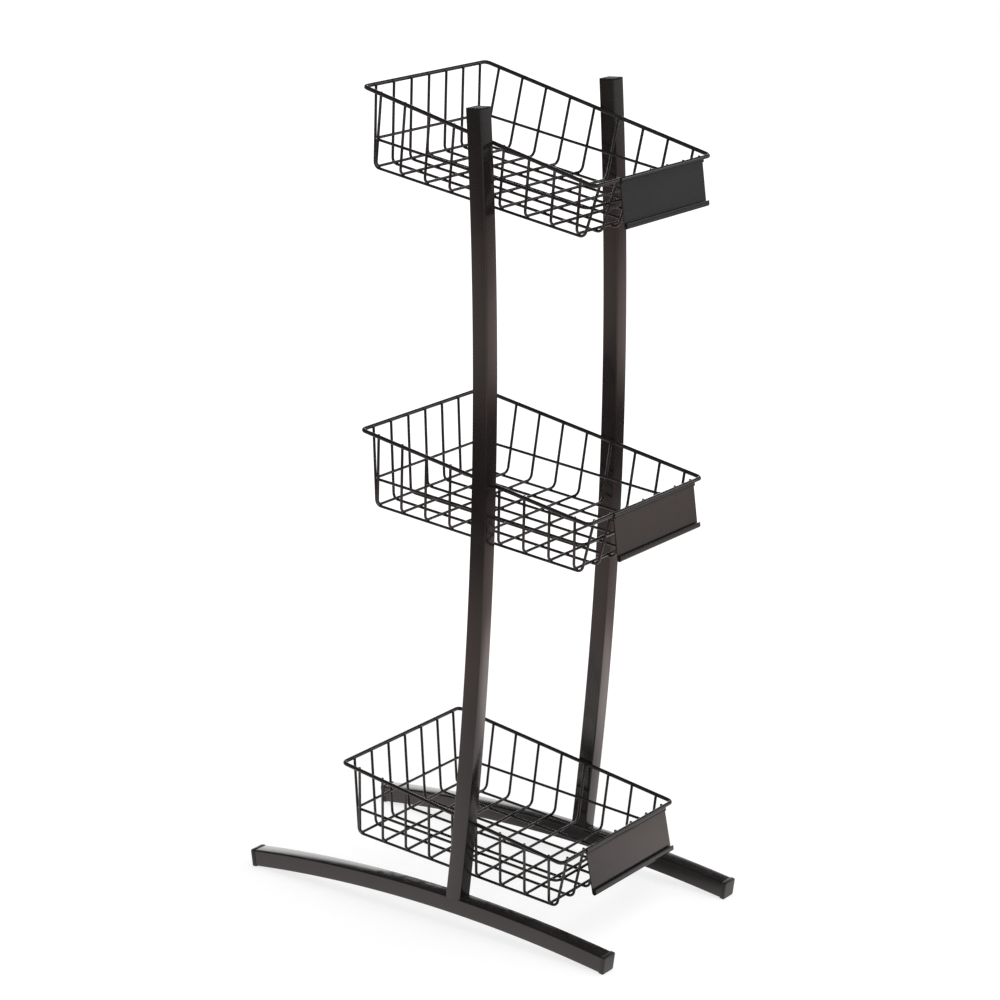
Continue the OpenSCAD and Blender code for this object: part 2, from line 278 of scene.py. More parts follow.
def blackPaint(name, look):
    # powder coat: a little wear, dust on what faces up, and fine grain over an orange peel
    recipe = Recipe(bpy.data.materials.new(name))
    broad = recipe.noise(**paint["broad"])
    normal = recipe.add("ShaderNodeNewGeometry", output="Normal")
    facingUp = recipe.spread(recipe.heightOf(normal), *paint["facingUp"])
    dusty = facingUp * recipe.spread(recipe.noise(**paint["dust"]), *paint["dustPatches"])
    specks = recipe.spread(recipe.noise(**paint["specks"]), *paint["speckle"])
    colour = recipe.blend(recipe.spread(broad, *paint["wear"]), look["colour"], look["worn"])
    colour = recipe.blend(dusty * look["dustShare"] * specks, colour, look["dust"])
    roughness = (look["roughness"] + look["uneven"] * (broad - noiseMiddle)
                 + paint["dustRoughens"] * dusty)
    peel = recipe.bump(recipe.noise(look["peelScale"], paint["peelDetail"]), look["peelDepth"])
    grain = recipe.bump(recipe.noise(look["grainScale"]), look["grainDepth"], peel)
    return recipe.coat(colour, roughness, grain, paint["ior"])


capLook = {
    "colour": (0.013, 0.0125, 0.0135, 1), "light": (0.022, 0.021, 0.0225, 1), "roughness": 0.42,
    "grain": {"scale": 1500.0, "detail": 3.0, "roughness": 0.6}, "grainDepth": 0.00005,
    "speckle": (0.35, 0.65), "patches": {"scale": 40.0}, "uneven": 0.12, "ior": 1.48,
}
# the upright plugs' black plastic, set darker than the caps' as painted shade on their top faces
shadedPlugLook = dict(capLook, colour=(0.006, 0.006, 0.0063, 1), light=(0.011, 0.0105, 0.011, 1),
                roughness=0.60)


def mouldedPlastic(name, look):
    # spark-eroded grain of moulded caps
    recipe = Recipe(bpy.data.materials.new(name))
    grain = recipe.noise(**look["grain"])
    patches = recipe.noise(**look["patches"])
    colour = recipe.blend(recipe.spread(grain, *look["speckle"]), look["colour"], look["light"])
    roughness = look["roughness"] + look["uneven"] * (patches - noiseMiddle)
    return recipe.coat(colour, roughness, recipe.bump(grain, look["grainDepth"]), look["ior"])


holderLook = {
    "colour": (0.0122, 0.0124, 0.0128, 1), "light": (0.0185, 0.0186, 0.019, 1),
    "roughness": 0.19, "ior": 1.53, "tones": (0.3, 0.7),
    "along": (3.0, 500.0, 500.0), "lines": {"scale": 1.0, "detail": 3.0, "roughness": 0.6},
    "lineDepth": 0.000006, "lineShare": 0.6, "lineUneven": 0.04,
    "cloud": {"scale": 22.0, "detail": 3.0}, "cloudShare": 0.4, "cloudUneven": 0.10,
    "grainScale": 900.0, "grainDepth": 0.000004,
}


def extrudedPlastic(name, look):
    # faint die lines run along the length
    recipe = Recipe(bpy.data.materials.new(name))
    along = recipe.add("ShaderNodeMapping", {}, {"Vector": recipe.place(), "Scale": look["along"]})
    lines = recipe.noise(place=along, **look["lines"])
    cloud = recipe.noise(**look["cloud"])
    tone = (look["lineShare"] * recipe.spread(lines, *look["tones"])
            + look["cloudShare"] * recipe.spread(cloud, *look["tones"]))
    roughness = (look["roughness"] + look["cloudUneven"] * (cloud - noiseMiddle)
                 + look["lineUneven"] * (lines - noiseMiddle))
    grain = recipe.bump(recipe.noise(look["grainScale"]), look["grainDepth"],
                        recipe.bump(lines, look["lineDepth"]))
    return recipe.coat(recipe.blend(tone, look["colour"], look["light"]), roughness, grain,
                       look["ior"])


tubePaint = blackPaint("tubePaint", tubePaintLook)
wirePaint = blackPaint("wirePaint", wirePaintLook)
weldPaint = blackPaint("weldPaint", weldPaintLook)
capPlastic = mouldedPlastic("capPlastic", capLook)
plugPlastic = mouldedPlastic("plugPlastic", shadedPlugLook)
holderPlastic = extrudedPlastic("holderPlastic", holderLook)
print("finishes mixed")


# Side frames

stand = {"gap": 253.0, "tube": 22.0, "wall": 1.5, "corner": 2.0, "cornerSteps": 4,
         "weldGap": 0.05}
foot = {"span": 544.0, "rise": 19.0, "steps": 56}
upright = {"height": 1035.0, "radius": 5400.0, "reach": 90.0, "bowHeight": 700.0,
           "aboveFoot": 10.0, "steps": 72}
cap = {"flange": 6.5, "lip": 0.7, "chamfer": 1.2, "flat": 0.4, "soften": 0.3, "sharp": 35}

sideX = stand["gap"] / 2 + stand["tube"] / 2
footRadius = ((foot["span"] / 2) ** 2 + foot["rise"] ** 2) / (2 * foot["rise"])
footAngle = asin(foot["span"] / 2 / footRadius)
capHalf = stand["tube"] / 2 + cap["lip"]
footEndHeight = (capHalf * cos(footAngle) + (cap["flange"] - cap["chamfer"]) * sin(footAngle)
                 - cap["flat"])
footCrown = footEndHeight + foot["rise"]
bowCentre = Vector((0, upright["radius"] - upright["reach"], upright["bowHeight"]))


def sideName(side):
    return "left" if side < 0 else "right"


def uprightY(z):
    return bowCentre.y - sqrt(upright["radius"] ** 2 - (z - upright["bowHeight"]) ** 2)


def bowAngle(z):
    return asin((z - upright["bowHeight"]) / upright["radius"])


def uprightTop(side):
    # the frame of an upright's cut top end
    top = upright["height"]
    return shift(sideX * side, uprightY(top), top) @ turn(-degrees(bowAngle(top)))


def squareTube(bm, start, centre, angle, steps):
    # hollow tube: the outside and the inside are swept together and joined at both ends
    starts = [squareLoop(bm, stand["tube"] - 2 * inset, stand["corner"] - inset,
                         stand["cornerSteps"], start) for inset in (0.0, stand["wall"])]
    ends = [swept(bm, loop, centre, (1, 0, 0), angle, steps) for loop in starts]
    for outer, inner in (starts, ends):
        bmesh.ops.bridge_loops(bm, edges=outer + inner)


def makeFootBar(side):
    bm = bmesh.new()
    start = (shift(sideX * side, -foot["span"] / 2, footEndHeight)
             @ turn(degrees(footAngle)) @ turn(90))
    centre = (0, 0, footCrown - footRadius)
    squareTube(bm, start, centre, -2 * footAngle, foot["steps"])
    name = sideName(side)
    finishPiece(bm, name + "FootBar", tubePaint, "stand", [name + "_foot_bar"])


def makeUpright(side):
    bm = bmesh.new()
    squareTube(bm, uprightTop(side), bowCentre, bowAngle(upright["height"]) - bowAngle(footCrown),
               upright["steps"])
    # the lower end is cut to the slope of the foot bar that it stands on
    slope = asin(uprightY(footCrown + upright["aboveFoot"]) / footRadius)
    rest = footRadius + stand["tube"] / 2 + stand["weldGap"]
    base = Vector((0, rest * sin(slope), footCrown - footRadius + rest * cos(slope)))
    bmesh.ops.bridge_loops(bm, edges=cutBelow(bm, base, (0, sin(slope), cos(slope))))
    name = sideName(side)
    finishPiece(bm, name + "Upright", tubePaint, "stand", [name + "_upright"])
    return shift(sideX * side, base.y, base.z) @ turn(-degrees(slope))


weld = {"bead": 1.5, "beadEnd": 0.6, "beadSides": 12, "beadPast": 1.0, "beadSink": 0.1,
        "ripples": 14, "ripple": 0.16, "fill": (2.2, 2.55), "fillPast": 1.2, "fillSink": 0.9,
        "fillInset": 1.1, "fillSoft": 0.35, "fillSteps": 2, "proud": 0.02, "sharp": 60}


def makeBead(bm, place, y, across):
    # a rippled bead from one side of the tube to the other
    begin = place @ shift(-across / 2, y, -weld["beadSink"])
    loop = circleLoop(bm, weld["beadEnd"], weld["beadSides"], begin @ turn(90, "Y"))
    closed(bm, loop)
    centre = begin.to_translation()
    step = place.to_3x3() @ Vector((across / weld["ripples"], 0, 0))
    size = weld["beadEnd"]
    for i in range(weld["ripples"]):
        last = i == weld["ripples"] - 1
        wanted = weld["beadEnd"] if last else weld["bead"] * (1 + weld["ripple"] * (i % 2))
        centre = centre + step
        loop = pushed(bm, loop, step, wanted / size, centre)
        size = wanted
    closed(bm, loop)


def makeBaseWeld(side, place):
    # beads in front of and behind the upright, and ground-flush fill on its two sides
    bm = bmesh.new()
    half = stand["tube"] / 2
    flatSide = stand["tube"] - 2 * stand["corner"]
    for way in (-1, 1):
        makeBead(bm, place, way * half, flatSide + weld["beadPast"])
    wide, tall = weld["fill"]
    fill = Matrix.Diagonal((wide, flatSide + weld["fillPast"], tall, 1))
    for way in (-1, 1):
        x = way * (half - weld["fillInset"] - weld["proud"])
        block = bmesh.ops.create_cube(
            bm, size=1.0, matrix=place @ shift(x, 0, -weld["fillSink"]) @ fill)["verts"]
        edges = list({e for v in block for e in v.link_edges})
        rounded(bm, edges, weld["fillSoft"], weld["fillSteps"], "EDGES")
    finishPiece(bm, sideName(side) + "BaseWeld", tubePaint, "stand", [],
                sharp=weld["sharp"])


insert = {"length": 14.0, "wall": 1.4, "rib": 0.7, "clear": 0.15, "ribs": 3, "ribSpaces": 3.6,
          "ribTall": 1.1, "corner": 0.6, "cornerSteps": 2, "overlap": 0.3}


def makeInsert(bm, matrix):
    # ribbed plug body that hangs below a cap's flange, inside the tube
    ribWidth = stand["tube"] - 2 * stand["wall"] - 2 * insert["clear"]
    core = ribWidth - 2 * insert["rib"]
    profile = []
    for i in range(insert["ribs"]):
        low = (i + 1) * insert["length"] / insert["ribSpaces"]
        high = low - insert["ribTall"]
        profile += [(core, -high), (ribWidth, -high), (ribWidth, -low), (core, -low)]
    profile.append((core, -insert["length"]))
    loop = squareLoop(bm, core, insert["corner"], insert["cornerSteps"],
                      matrix @ shift(z=insert["overlap"]))
    loop = stepped(bm, loop, matrix, profile, core, insert["overlap"])
    hollow = 1 - 2 * insert["wall"] / core
    loop = stepped(bm, loop, matrix, [(hollow, -insert["length"]), (hollow, 0.0)],
                   level=-insert["length"])
    closed(bm, loop)


flange = {"seam": 0.4, "seamRound": 0.002, "seamDip": 0.3, "edgeSteps": 4, "edgeRise": 0.85,
          "crown": 0.13, "rings": (0.8, 0.55, 0.25)}


def makeFlange(bm, matrix, width, thick, edge):
    # square cap with a seam under it, soft edges and a faintly domed face
    seam = 1 - 2 * flange["seam"] / width
    loop = squareLoop(bm, width, stand["corner"], stand["cornerSteps"], matrix)
    bmesh.ops.scale(bm, verts=loopVerts(loop), vec=(seam,) * 3, space=matrix.inverted())
    closed(bm, loop)
    shoulder = thick - edge
    profile = [((1 + seam) / 2 + flange["seamRound"], flange["seam"] * flange["seamDip"]),
               (1.0, flange["seam"]), (1.0, shoulder)]
    for i in range(1, flange["edgeSteps"] + 1):
        a = i / flange["edgeSteps"] * pi / 2
        profile.append((1 - 2 * edge / width * (1 - cos(a)),
                        shoulder + flange["edgeRise"] * edge * sin(a)))
    rim = 1 - 2 * edge / width
    for share in flange["rings"]:
        rise = flange["edgeRise"] + flange["crown"] * (1 - share ** 2)
        profile.append((rim * share, shoulder + edge * rise))
    closed(bm, stepped(bm, loop, matrix, profile, seam))


def makeFootCap(side, end):
    bm = bmesh.new()
    place = (shift(sideX * side, end * foot["span"] / 2, footEndHeight)
             @ turn(-end * (90 + degrees(footAngle))))
    makeFlange(bm, place, 2 * capHalf, cap["flange"], cap["chamfer"] + cap["soften"])
    # it stands on a small flat
    bmesh.ops.holes_fill(bm, edges=cutBelow(bm, (0, 0, 0), (0, 0, 1)))
    makeInsert(bm, place)
    name = sideName(side) + ("Front" if end < 0 else "Rear")
    node = sideName(side) + ("_front_cap" if end < 0 else "_rear_cap")
    finishPiece(bm, name + "Cap", capPlastic, "stand", [node], sharp=cap["sharp"])


plug = {"flange": 2.0, "chamfer": 0.5, "soften": 0.15, "clear": 0.02, "sharp": 35}


def makeUprightPlug(side):
    bm = bmesh.new()
    place = uprightTop(side)
    makeFlange(bm, place, stand["tube"] - plug["clear"], plug["flange"],
               plug["chamfer"] + plug["soften"])
    makeInsert(bm, place)
    name = sideName(side)
    finishPiece(bm, name + "UprightPlug", plugPlastic, "stand", [name + "_upright_plug"],
                sharp=plug["sharp"])


for side in (-1, 1):
    makeFootBar(side)
    makeBaseWeld(side, makeUpright(side))
    makeUprightPlug(side)
    for end in (-1, 1):
        makeFootCap(side, end)
print("side frames made")


# Baskets

basket = {
    "length": 343.5, "front": 67.0, "back": 97.0, "rimWire": 5.0, "rimBend": 7.0,
    "wire": 3.5, "bend": 8.0, "sideFlare": 11.75, "frontFlare": 15.45, "backFlare": 16.9,
    "across": 9, "acrossInset": 7.0, "along": 7, "alongInset": 7.0, "ringHeight": 34.8,
    "proud": 1.0, "ringEase": 0.15, "rimSides": 18, "sides": 14, "bendSteps": 8,
    "fewestSteps": 3, "cutEdge": 0.3, "cutShape": ((0.93, 0.45), (0.78, 0.85), (0.55, 1.0)),
    "sharp": 60,
}
tiers = {
    "top": {"height": 996.5, "setback": 15.75, "slope": 8.9, "lean": 7.5},
    "middle": {"height": 579.8, "setback": 27.75, "slope": 5.1, "lean": 7.5},
    "bottom": {"height": 137.0, "setback": 33.75, "slope": 3.7, "lean": 11.5},
}

gap = stand["weldGap"]
rimR = basket["rimWire"] / 2
thinR = basket["wire"] / 2
rimHalf = stand["gap"] / 2 - rimR - gap
rimSlope = atan((basket["back"] - basket["front"]) / basket["length"])
rimHalfLength = basket["length"] / 2 / cos(rimSlope)
rimMiddle = (basket["front"] + basket["back"]) / 2
floorHalf = rimHalf - basket["sideFlare"]
floorFront = basket["frontFlare"] - basket["length"] / 2
floorBack = basket["length"] / 2 - basket["backFlare"]
acrossLevel = thinR + gap / 2
alongLevel = -acrossLevel
touchRim = rimR + thinR + gap
touchThin = 2 * thinR + gap


def rimLevel(v):
    return rimMiddle + v * tan(rimSlope)


def leanOf(out, up):
    # lean of a wire that passes the rim at the touching distance
    return atan2(out, up) - asin(touchRim / hypot(out, up))


def sideLean(v):
    return leanOf(basket["sideFlare"], rimLevel(v) - acrossLevel)


frontLean = leanOf(basket["frontFlare"], basket["front"] - alongLevel)
backLean = leanOf(basket["backFlare"], basket["back"] - alongLevel)


def acrossV(i):
    span = floorBack - floorFront - 2 * basket["acrossInset"]
    return floorFront + basket["acrossInset"] + i * span / (basket["across"] - 1)


def alongX(i):
    spaces = basket["along"] - 1
    return (i - spaces / 2) * 2 * (floorHalf - basket["alongInset"]) / spaces


def ringHalf(v):
    lean = sideLean(v)
    return (floorHalf + (basket["ringHeight"] - acrossLevel) * tan(lean) - touchThin / cos(lean)
            - basket["ringEase"])


ringRise = basket["ringHeight"] - alongLevel
ringFront = floorFront - ringRise * tan(frontLean) + touchThin / cos(frontLean)
ringBack = floorBack + ringRise * tan(backLean) - touchThin / cos(backLean)
firstV, lastV = acrossV(0), acrossV(basket["across"] - 1)


def ringX(v):
    share = (v - firstV) / (lastV - firstV)
    return ringHalf(firstV) + share * (ringHalf(lastV) - ringHalf(firstV))


def tierPlace(tier):
    # the frame of a basket's floor, with its rim crossing the uprights at the tier's height
    tilt = radians(tier["slope"]) + rimSlope
    y = uprightY(tier["height"]) + tier["setback"] * cos(tilt)
    z = tier["height"] + tier["setback"] * sin(tilt)
    return shift(0, y, z) @ turn(tier["slope"]) @ shift(z=-rimMiddle)


def cutEnd(bm, loop, here, way):
    # a sheared end with its edge rounded by the paint
    edge = basket["cutEdge"]
    profile = [(scale, level * edge) for scale, level in basket["cutShape"]]
    closed(bm, stepped(bm, loop, facing(here, way), profile))


def bendWire(bm, points, radius, sides, bend, endless):
    # a round wire pushed straight and spun round its bends; an endless one begins in the
    # middle of a side
    points = [Vector(p) for p in points]
    if endless:
        start = finish = (points[-1] + points[0]) / 2
        corners = points
    else:
        start, *corners, finish = points
    way = (corners[0] - start).normalized()
    loop = circleLoop(bm, radius, sides, facing(start, way))
    here = start
    if not endless:
        cutEnd(bm, loop, here, -way)
        here = start + way * basket["cutEdge"]
        bmesh.ops.translate(bm, verts=loopVerts(loop), vec=way * basket["cutEdge"])
    for corner, nextPoint in zip(corners, corners[1:] + [finish]):
        nextWay = (nextPoint - corner).normalized()
        angle = way.angle(nextWay)
        reach = bend * tan(angle / 2)
        loop = pushed(bm, loop, corner - way * reach - here)
        centre = corner + (nextWay - way).normalized() * bend / cos(angle / 2)
        steps = max(basket["fewestSteps"], round(basket["bendSteps"] * angle / (pi / 2)))
        loop = swept(bm, loop, centre, way.cross(nextWay).normalized(), angle, steps)
        here = corner + nextWay * reach
        way = nextWay
    if endless:
        pushed(bm, loop, finish - here)
    else:
        cut = finish - way * basket["cutEdge"]
        cutEnd(bm, pushed(bm, loop, cut - here), cut, way)


def acrossPoints(v):
    rise = rimLevel(v) + basket["proud"] - acrossLevel
    topX = floorHalf + rise * tan(sideLean(v))
    topZ = acrossLevel + rise
    return ((-topX, v, topZ), (-floorHalf, v, acrossLevel), (floorHalf, v, acrossLevel),
            (topX, v, topZ))


def alongPoints(x):
    frontRise = basket["front"] + basket["proud"] - alongLevel
    backRise = basket["back"] + basket["proud"] - alongLevel
    return ((x, floorFront - frontRise * tan(frontLean), alongLevel + frontRise),
            (x, floorFront, alongLevel), (x, floorBack, alongLevel),
            (x, floorBack + backRise * tan(backLean), alongLevel + backRise))


nugget = {"wide": 1.6, "thick": 0.8, "tack": (0.9, 7.0, 0.9), "tackSink": 0.35,
          "tackSides": 10, "tackRings": 12, "sharp": 70}


def makeNuggets(bm, place):
    # resistance welds: a small squeeze of metal at each crossing of the floor, and of the
    # walls with the ring and the rim
    flat = Matrix.Diagonal((nugget["wide"], nugget["wide"], nugget["thick"], 1))
    endways = turn(90) @ flat
    sideways = turn(90, "Y") @ flat
    ring = basket["ringHeight"]
    xs = [alongX(i) for i in range(basket["along"])]
    vs = [acrossV(i) for i in range(basket["across"])]
    for x in xs:
        for v in vs:
            blob(bm, place @ shift(x, v, 0) @ flat)
    for v in vs:
        atRing = floorHalf + (ring - acrossLevel) * tan(sideLean(v)) - touchThin / 2
        atRim = rimHalf - rimR - gap / 2
        for way in (-1, 1):
            blob(bm, place @ shift(way * atRing, v, ring) @ sideways)
            blob(bm, place @ shift(way * atRim, v, rimLevel(v)) @ sideways)
    ends = ((-1, frontLean, floorFront, basket["front"]), (1, backLean, floorBack, basket["back"]))
    for x in xs:
        for way, lean, floorEdge, level in ends:
            atRing = floorEdge + way * (ringRise * tan(lean) - touchThin / 2)
            atRim = way * (basket["length"] / 2 - rimR - gap / 2)
            blob(bm, place @ shift(x, atRing, ring) @ endways)
            blob(bm, place @ shift(x, atRim, level) @ endways)


def makeTacks(bm, tier):
    # short welds above and below the rim where it passes each upright
    height, sink = tier["height"], nugget["tackSink"]
    tilt = turn(tier["slope"] + degrees(rimSlope))
    size = Matrix.Diagonal((*nugget["tack"], 1))
    for side in (-1, 1):
        x = side * (stand["gap"] / 2 - sink)
        for level in (-1, 1):
            place = shift(x, uprightY(height), height) @ tilt @ shift(z=level * (rimR - sink))
            blob(bm, place @ size, nugget["tackSides"], nugget["tackRings"])


def makeWires(name, node, place, wire, lines, endless=False):
    # a piece of wires that are alike, from lines of corners in the frame of a place
    bm = bmesh.new()
    for points in lines:
        bendWire(bm, [place @ Vector(p) for p in points], *wire, endless)
    finishPiece(bm, name, wirePaint, "stand", [node], sharp=basket["sharp"])


def makeBasket(name, tier):
    place = tierPlace(tier)
    rimPlace = place @ shift(z=rimMiddle) @ turn(degrees(rimSlope))
    thick = (rimR, basket["rimSides"], basket["rimBend"])
    thin = (thinR, basket["sides"], basket["bend"])
    x, v = rimHalf, rimHalfLength
    rim = ((-x, -v, 0), (x, -v, 0), (x, v, 0), (-x, v, 0))
    front, back, level = ringX(ringFront), ringX(ringBack), basket["ringHeight"]
    ring = ((-front, ringFront, level), (front, ringFront, level),
            (back, ringBack, level), (-back, ringBack, level))
    across = [acrossPoints(acrossV(i)) for i in range(basket["across"])]
    along = [alongPoints(alongX(i)) for i in range(basket["along"])]
    makeWires(name + "Rim", name + "_rim", rimPlace, thick, [rim], endless=True)
    makeWires(name + "Ring", name + "_ring", place, thin, [ring], endless=True)
    makeWires(name + "CrossWires", name + "_cross_wires", place, thin, across)
    makeWires(name + "LongWires", name + "_long_wires", place, thin, along)
    bm = bmesh.new()
    makeNuggets(bm, place)
    makeTacks(bm, tier)
    finishPiece(bm, name + "Welds", weldPaint, "stand", [], sharp=nugget["sharp"])


for name, tier in tiers.items():
    makeBasket(name, tier)
    print(name, "basket made")


# Ticket holders

holder = {
    "length": 176.0, "shift": 15.0, "drop": 55.0, "wall": 1.6, "back": 0.2,
    "hook": 3.0, "hookLip": 4.0, "clipWall": 1.5, "clipClear": 0.08, "wrap": 190.0,
    "aim": -45.0, "slot": 0.8, "lip": 5.0, "lipWall": 0.9, "lipSpread": 0.22, "lipSoft": 0.45,
    "soft": 0.22, "softSteps": 3, "stepAngle": 7.5, "fewestSteps": 2, "merge": 0.002,
    "finishMerge": 0.001, "sharp": 30,
}


class Pen:
    # draws an outline: straight strokes are extruded, arcs are spun
    def __init__(self, bm, at):
        self.bm = bm
        self.tip = bm.verts.new((*at, 0))
        self.soft = [self.tip]

    def stroke(self, x, y, soft=False):
        self.tip = bmesh.ops.extrude_vert_indiv(self.bm, verts=[self.tip])["verts"][0]
        self.tip.co = (x, y, 0)
        if soft:
            self.soft.append(self.tip)

    def arc(self, x, y, angle):
        steps = max(holder["fewestSteps"], round(abs(angle) / holder["stepAngle"]))
        last = spun(self.bm, [self.tip], (x, y, 0), (0, 0, 1), radians(angle), steps)
        self.tip = vertsOf(last)[0]


def drawHolder(bm):
    # the outline of the extrusion, x out of its face and y up it, round the rim's centre
    bore = rimR + holder["clipClear"]
    outer = bore + holder["clipWall"]
    faceBack, faceFront = holder["back"], holder["back"] + holder["wall"]
    lipIn = faceFront + holder["slot"]
    lipOut = lipIn + holder["lipWall"]
    hookX = faceBack + holder["hook"]
    hookIn = hookX + holder["hook"] - holder["wall"]
    hookTop = holder["hookLip"] - holder["drop"]
    first = holder["aim"] - holder["wrap"] / 2
    last = holder["aim"] + holder["wrap"] / 2
    flare, soft = holder["lipSpread"], holder["lipSoft"]

    def roundClip(radius, angle):
        return radius * cos(radians(angle)), radius * sin(radians(angle))

    def angleAt(x):
        # where the line at x meets the outside of the clip
        return -degrees(acos(x / outer))

    def levelAt(x):
        return -sqrt(outer ** 2 - x ** 2)

    pen = Pen(bm, roundClip(bore, first))
    pen.stroke(*roundClip(outer, first), soft=True)
    pen.arc(0, 0, angleAt(faceBack) - first)
    pen.stroke(faceBack, -holder["drop"])
    pen.arc(hookX, -holder["drop"], 180)
    pen.stroke(hookX + holder["hook"], hookTop, soft=True)
    pen.stroke(hookIn, hookTop, soft=True)
    pen.stroke(hookIn, -holder["drop"])
    pen.arc(hookX, -holder["drop"], -180)
    pen.stroke(faceFront, levelAt(faceFront))
    pen.arc(0, 0, angleAt(lipIn) - angleAt(faceFront))
    pen.stroke(lipIn + flare, -holder["lip"], soft=True)
    pen.stroke(lipOut + flare - soft, -holder["lip"])
    pen.arc(lipOut + flare - soft, soft - holder["lip"], 90)
    pen.stroke(lipOut, levelAt(lipOut))
    pen.arc(0, 0, last - angleAt(lipOut))
    pen.soft.append(pen.tip)
    pen.stroke(*roundClip(bore, last), soft=True)
    pen.arc(0, 0, first - last)
    bmesh.ops.remove_doubles(bm, verts=bm.verts, dist=holder["merge"])
    rounded(bm, [v for v in pen.soft if v.is_valid], holder["soft"], holder["softSteps"])


def makeHolder(name, tier):
    bm = bmesh.new()
    drawHolder(bm)
    face = bmesh.ops.contextual_create(bm, geom=bm.edges[:])["faces"]
    new = bmesh.ops.extrude_face_region(bm, geom=face)["geom"]
    bmesh.ops.translate(bm, verts=vertsOf(new), vec=(0, 0, holder["length"]))
    # outline x turns to -Y, outline y to Z, and the length runs along X
    stood = Matrix(((0, 0, 1, -holder["length"] / 2), (-1, 0, 0, 0), (0, 1, 0, 0), (0, 0, 0, 1)))
    place = (tierPlace(tier) @ shift(holder["shift"], -basket["length"] / 2, basket["front"])
             @ turn(-tier["slope"] - tier["lean"]))
    bmesh.ops.transform(bm, matrix=place @ stood, verts=bm.verts)
    finishPiece(bm, name + "TicketHolder", holderPlastic, name + "_holder",
                [name + "_ticket_holder"],
                sharp=holder["sharp"], merge=holder["finishMerge"])


for name, tier in tiers.items():
    makeHolder(name, tier)
print("ticket holders made")


# Floor, light and camera

def rayKinds(recipe):
    # direct is 1 for what the camera sees straight or through glass, mirrored for what a
    # surface reflects
    seen = recipe.add("ShaderNodeLightPath", output="Is Camera Ray")
    through = recipe.add("ShaderNodeLightPath", output="Is Transmission Ray")
    mirrored = recipe.add("ShaderNodeLightPath", output="Is Glossy Ray")
    return seen.maths("MAXIMUM", seen, through), mirrored


def lengthAlong(recipe, direction, way):
    return recipe.vector("DOT_PRODUCT", direction, way, output="Value")


floor = {
    "radius": 8.0, "sides": 96, "sink": 0.0002, "albedo": 0.80,
    "white": (0.50, 1.05), "veil": 0.62, "glare": 1.22,
    # what the paint mirrors of the floor is a painted reflection: its warm tint, its glowing
    # levels, a painted glow spot, painted shade under the stand and a dark ring
    "near": (1.0, 0.92, 0.91, 1), "far": (1.0, 0.79, 0.75, 1), "tint": (0.3, 1.2),
    "mirror": (3.5, 5.1, 0.76, 0.05), "lift": (0.3, 0.75, 0.25, 0.0),
    "glowPlace": (0.56, -0.42, 0.0), "glow": (0.08, 0.34, 1.15, 0.0),
    "lobes": (((-0.81, -0.59, 0.0), (0.80, 0.96, 0.0, 0.55)),
              ((0.81, -0.59, 0.0), (0.40, 0.90, 0.0, 0.28))),
    "lobesBeyond": (1.2, 3.0),
    "shadeShape": (2.2, 1.0, 1.0), "shadePlace": (0.0, -0.10, 0.0),
    "shade": (0.16, 0.36, 0.20, 1.0),
    "ring": 0.93, "ringIn": (1.15, 1.85), "ringOut": (2.42, 2.85, 1.0, 0.0),
}


def paintedFloorSheen(recipe, place, distance):
    # how bright the floor glows in what the paint mirrors, a painted reflection: a steady level
    # that is dark far out, lifted near the stand, a painted glow at a spot to its front right and
    # in two directions in front of it, and painted shade under it and in a dark ring round it
    apart = recipe.vector("DISTANCE", place, floor["glowPlace"], output="Value")
    outward = recipe.vector("NORMALIZE", place)
    beyond = recipe.spread(distance, *floor["lobesBeyond"])
    sheen = (recipe.spread(distance, *floor["mirror"]) + recipe.spread(distance, *floor["lift"])
             + recipe.spread(apart, *floor["glow"]))
    for way, lobe in floor["lobes"]:
        sheen = sheen + beyond * recipe.spread(lengthAlong(recipe, outward, way), *lobe)
    # painted shadow of the stand in its reflection, under it
    under = recipe.vector("MULTIPLY", place, floor["shadeShape"])
    under = recipe.vector("DISTANCE", under, floor["shadePlace"], output="Value")
    # a painted dark ring round the stand
    ring = recipe.spread(distance, *floor["ringIn"]) * recipe.spread(distance, *floor["ringOut"])
    return sheen * recipe.spread(under, *floor["shade"]) * (1 - floor["ring"] * ring)


def floorPaint():
    # a white sweep to the eye that keeps a faint shadow of the stand, and a warm painted
    # reflection in the paint, glowing from the floor itself
    material = bpy.data.materials.new("whiteSweep")
    recipe = Recipe(material)
    place = recipe.place()
    distance = recipe.vector("LENGTH", place, output="Value")
    direct, mirrored = rayKinds(recipe)
    lit = recipe.add("ShaderNodeBsdfDiffuse", {}, {"Color": (floor["albedo"],) * 3 + (1,)})
    white = recipe.add("ShaderNodeEmission", {}, {
        "Color": (1, 1, 1, 1), "Strength": floor["glare"]})
    fade = recipe.spread(distance, *floor["white"])
    veil = direct * (floor["veil"] + (1 - floor["veil"]) * fade)
    shown = recipe.add("ShaderNodeMixShader", {}, {0: veil, 1: lit, 2: white})
    # painted reflection colour: warm, and redder further from the stand
    tint = recipe.blend(recipe.spread(distance, *floor["tint"]), floor["near"], floor["far"])
    mirror = recipe.add("ShaderNodeEmission", {}, {
        "Color": tint, "Strength": paintedFloorSheen(recipe, place, distance)})
    recipe.surface(recipe.add("ShaderNodeMixShader", {}, {0: mirrored, 1: shown, 2: mirror}))
    return material


def makeFloor():
    bm = bmesh.new()
    bmesh.ops.create_circle(bm, cap_ends=True, segments=floor["sides"], radius=floor["radius"],
                            matrix=shift(z=-floor["sink"]))
    mesh = bpy.data.meshes.new("floor")
    bm.to_mesh(mesh)
    bm.free()
    mesh.materials.append(floorPaint())
    obj = bpy.data.objects.new("floor", mesh)
    bpy.context.scene.collection.objects.link(obj)


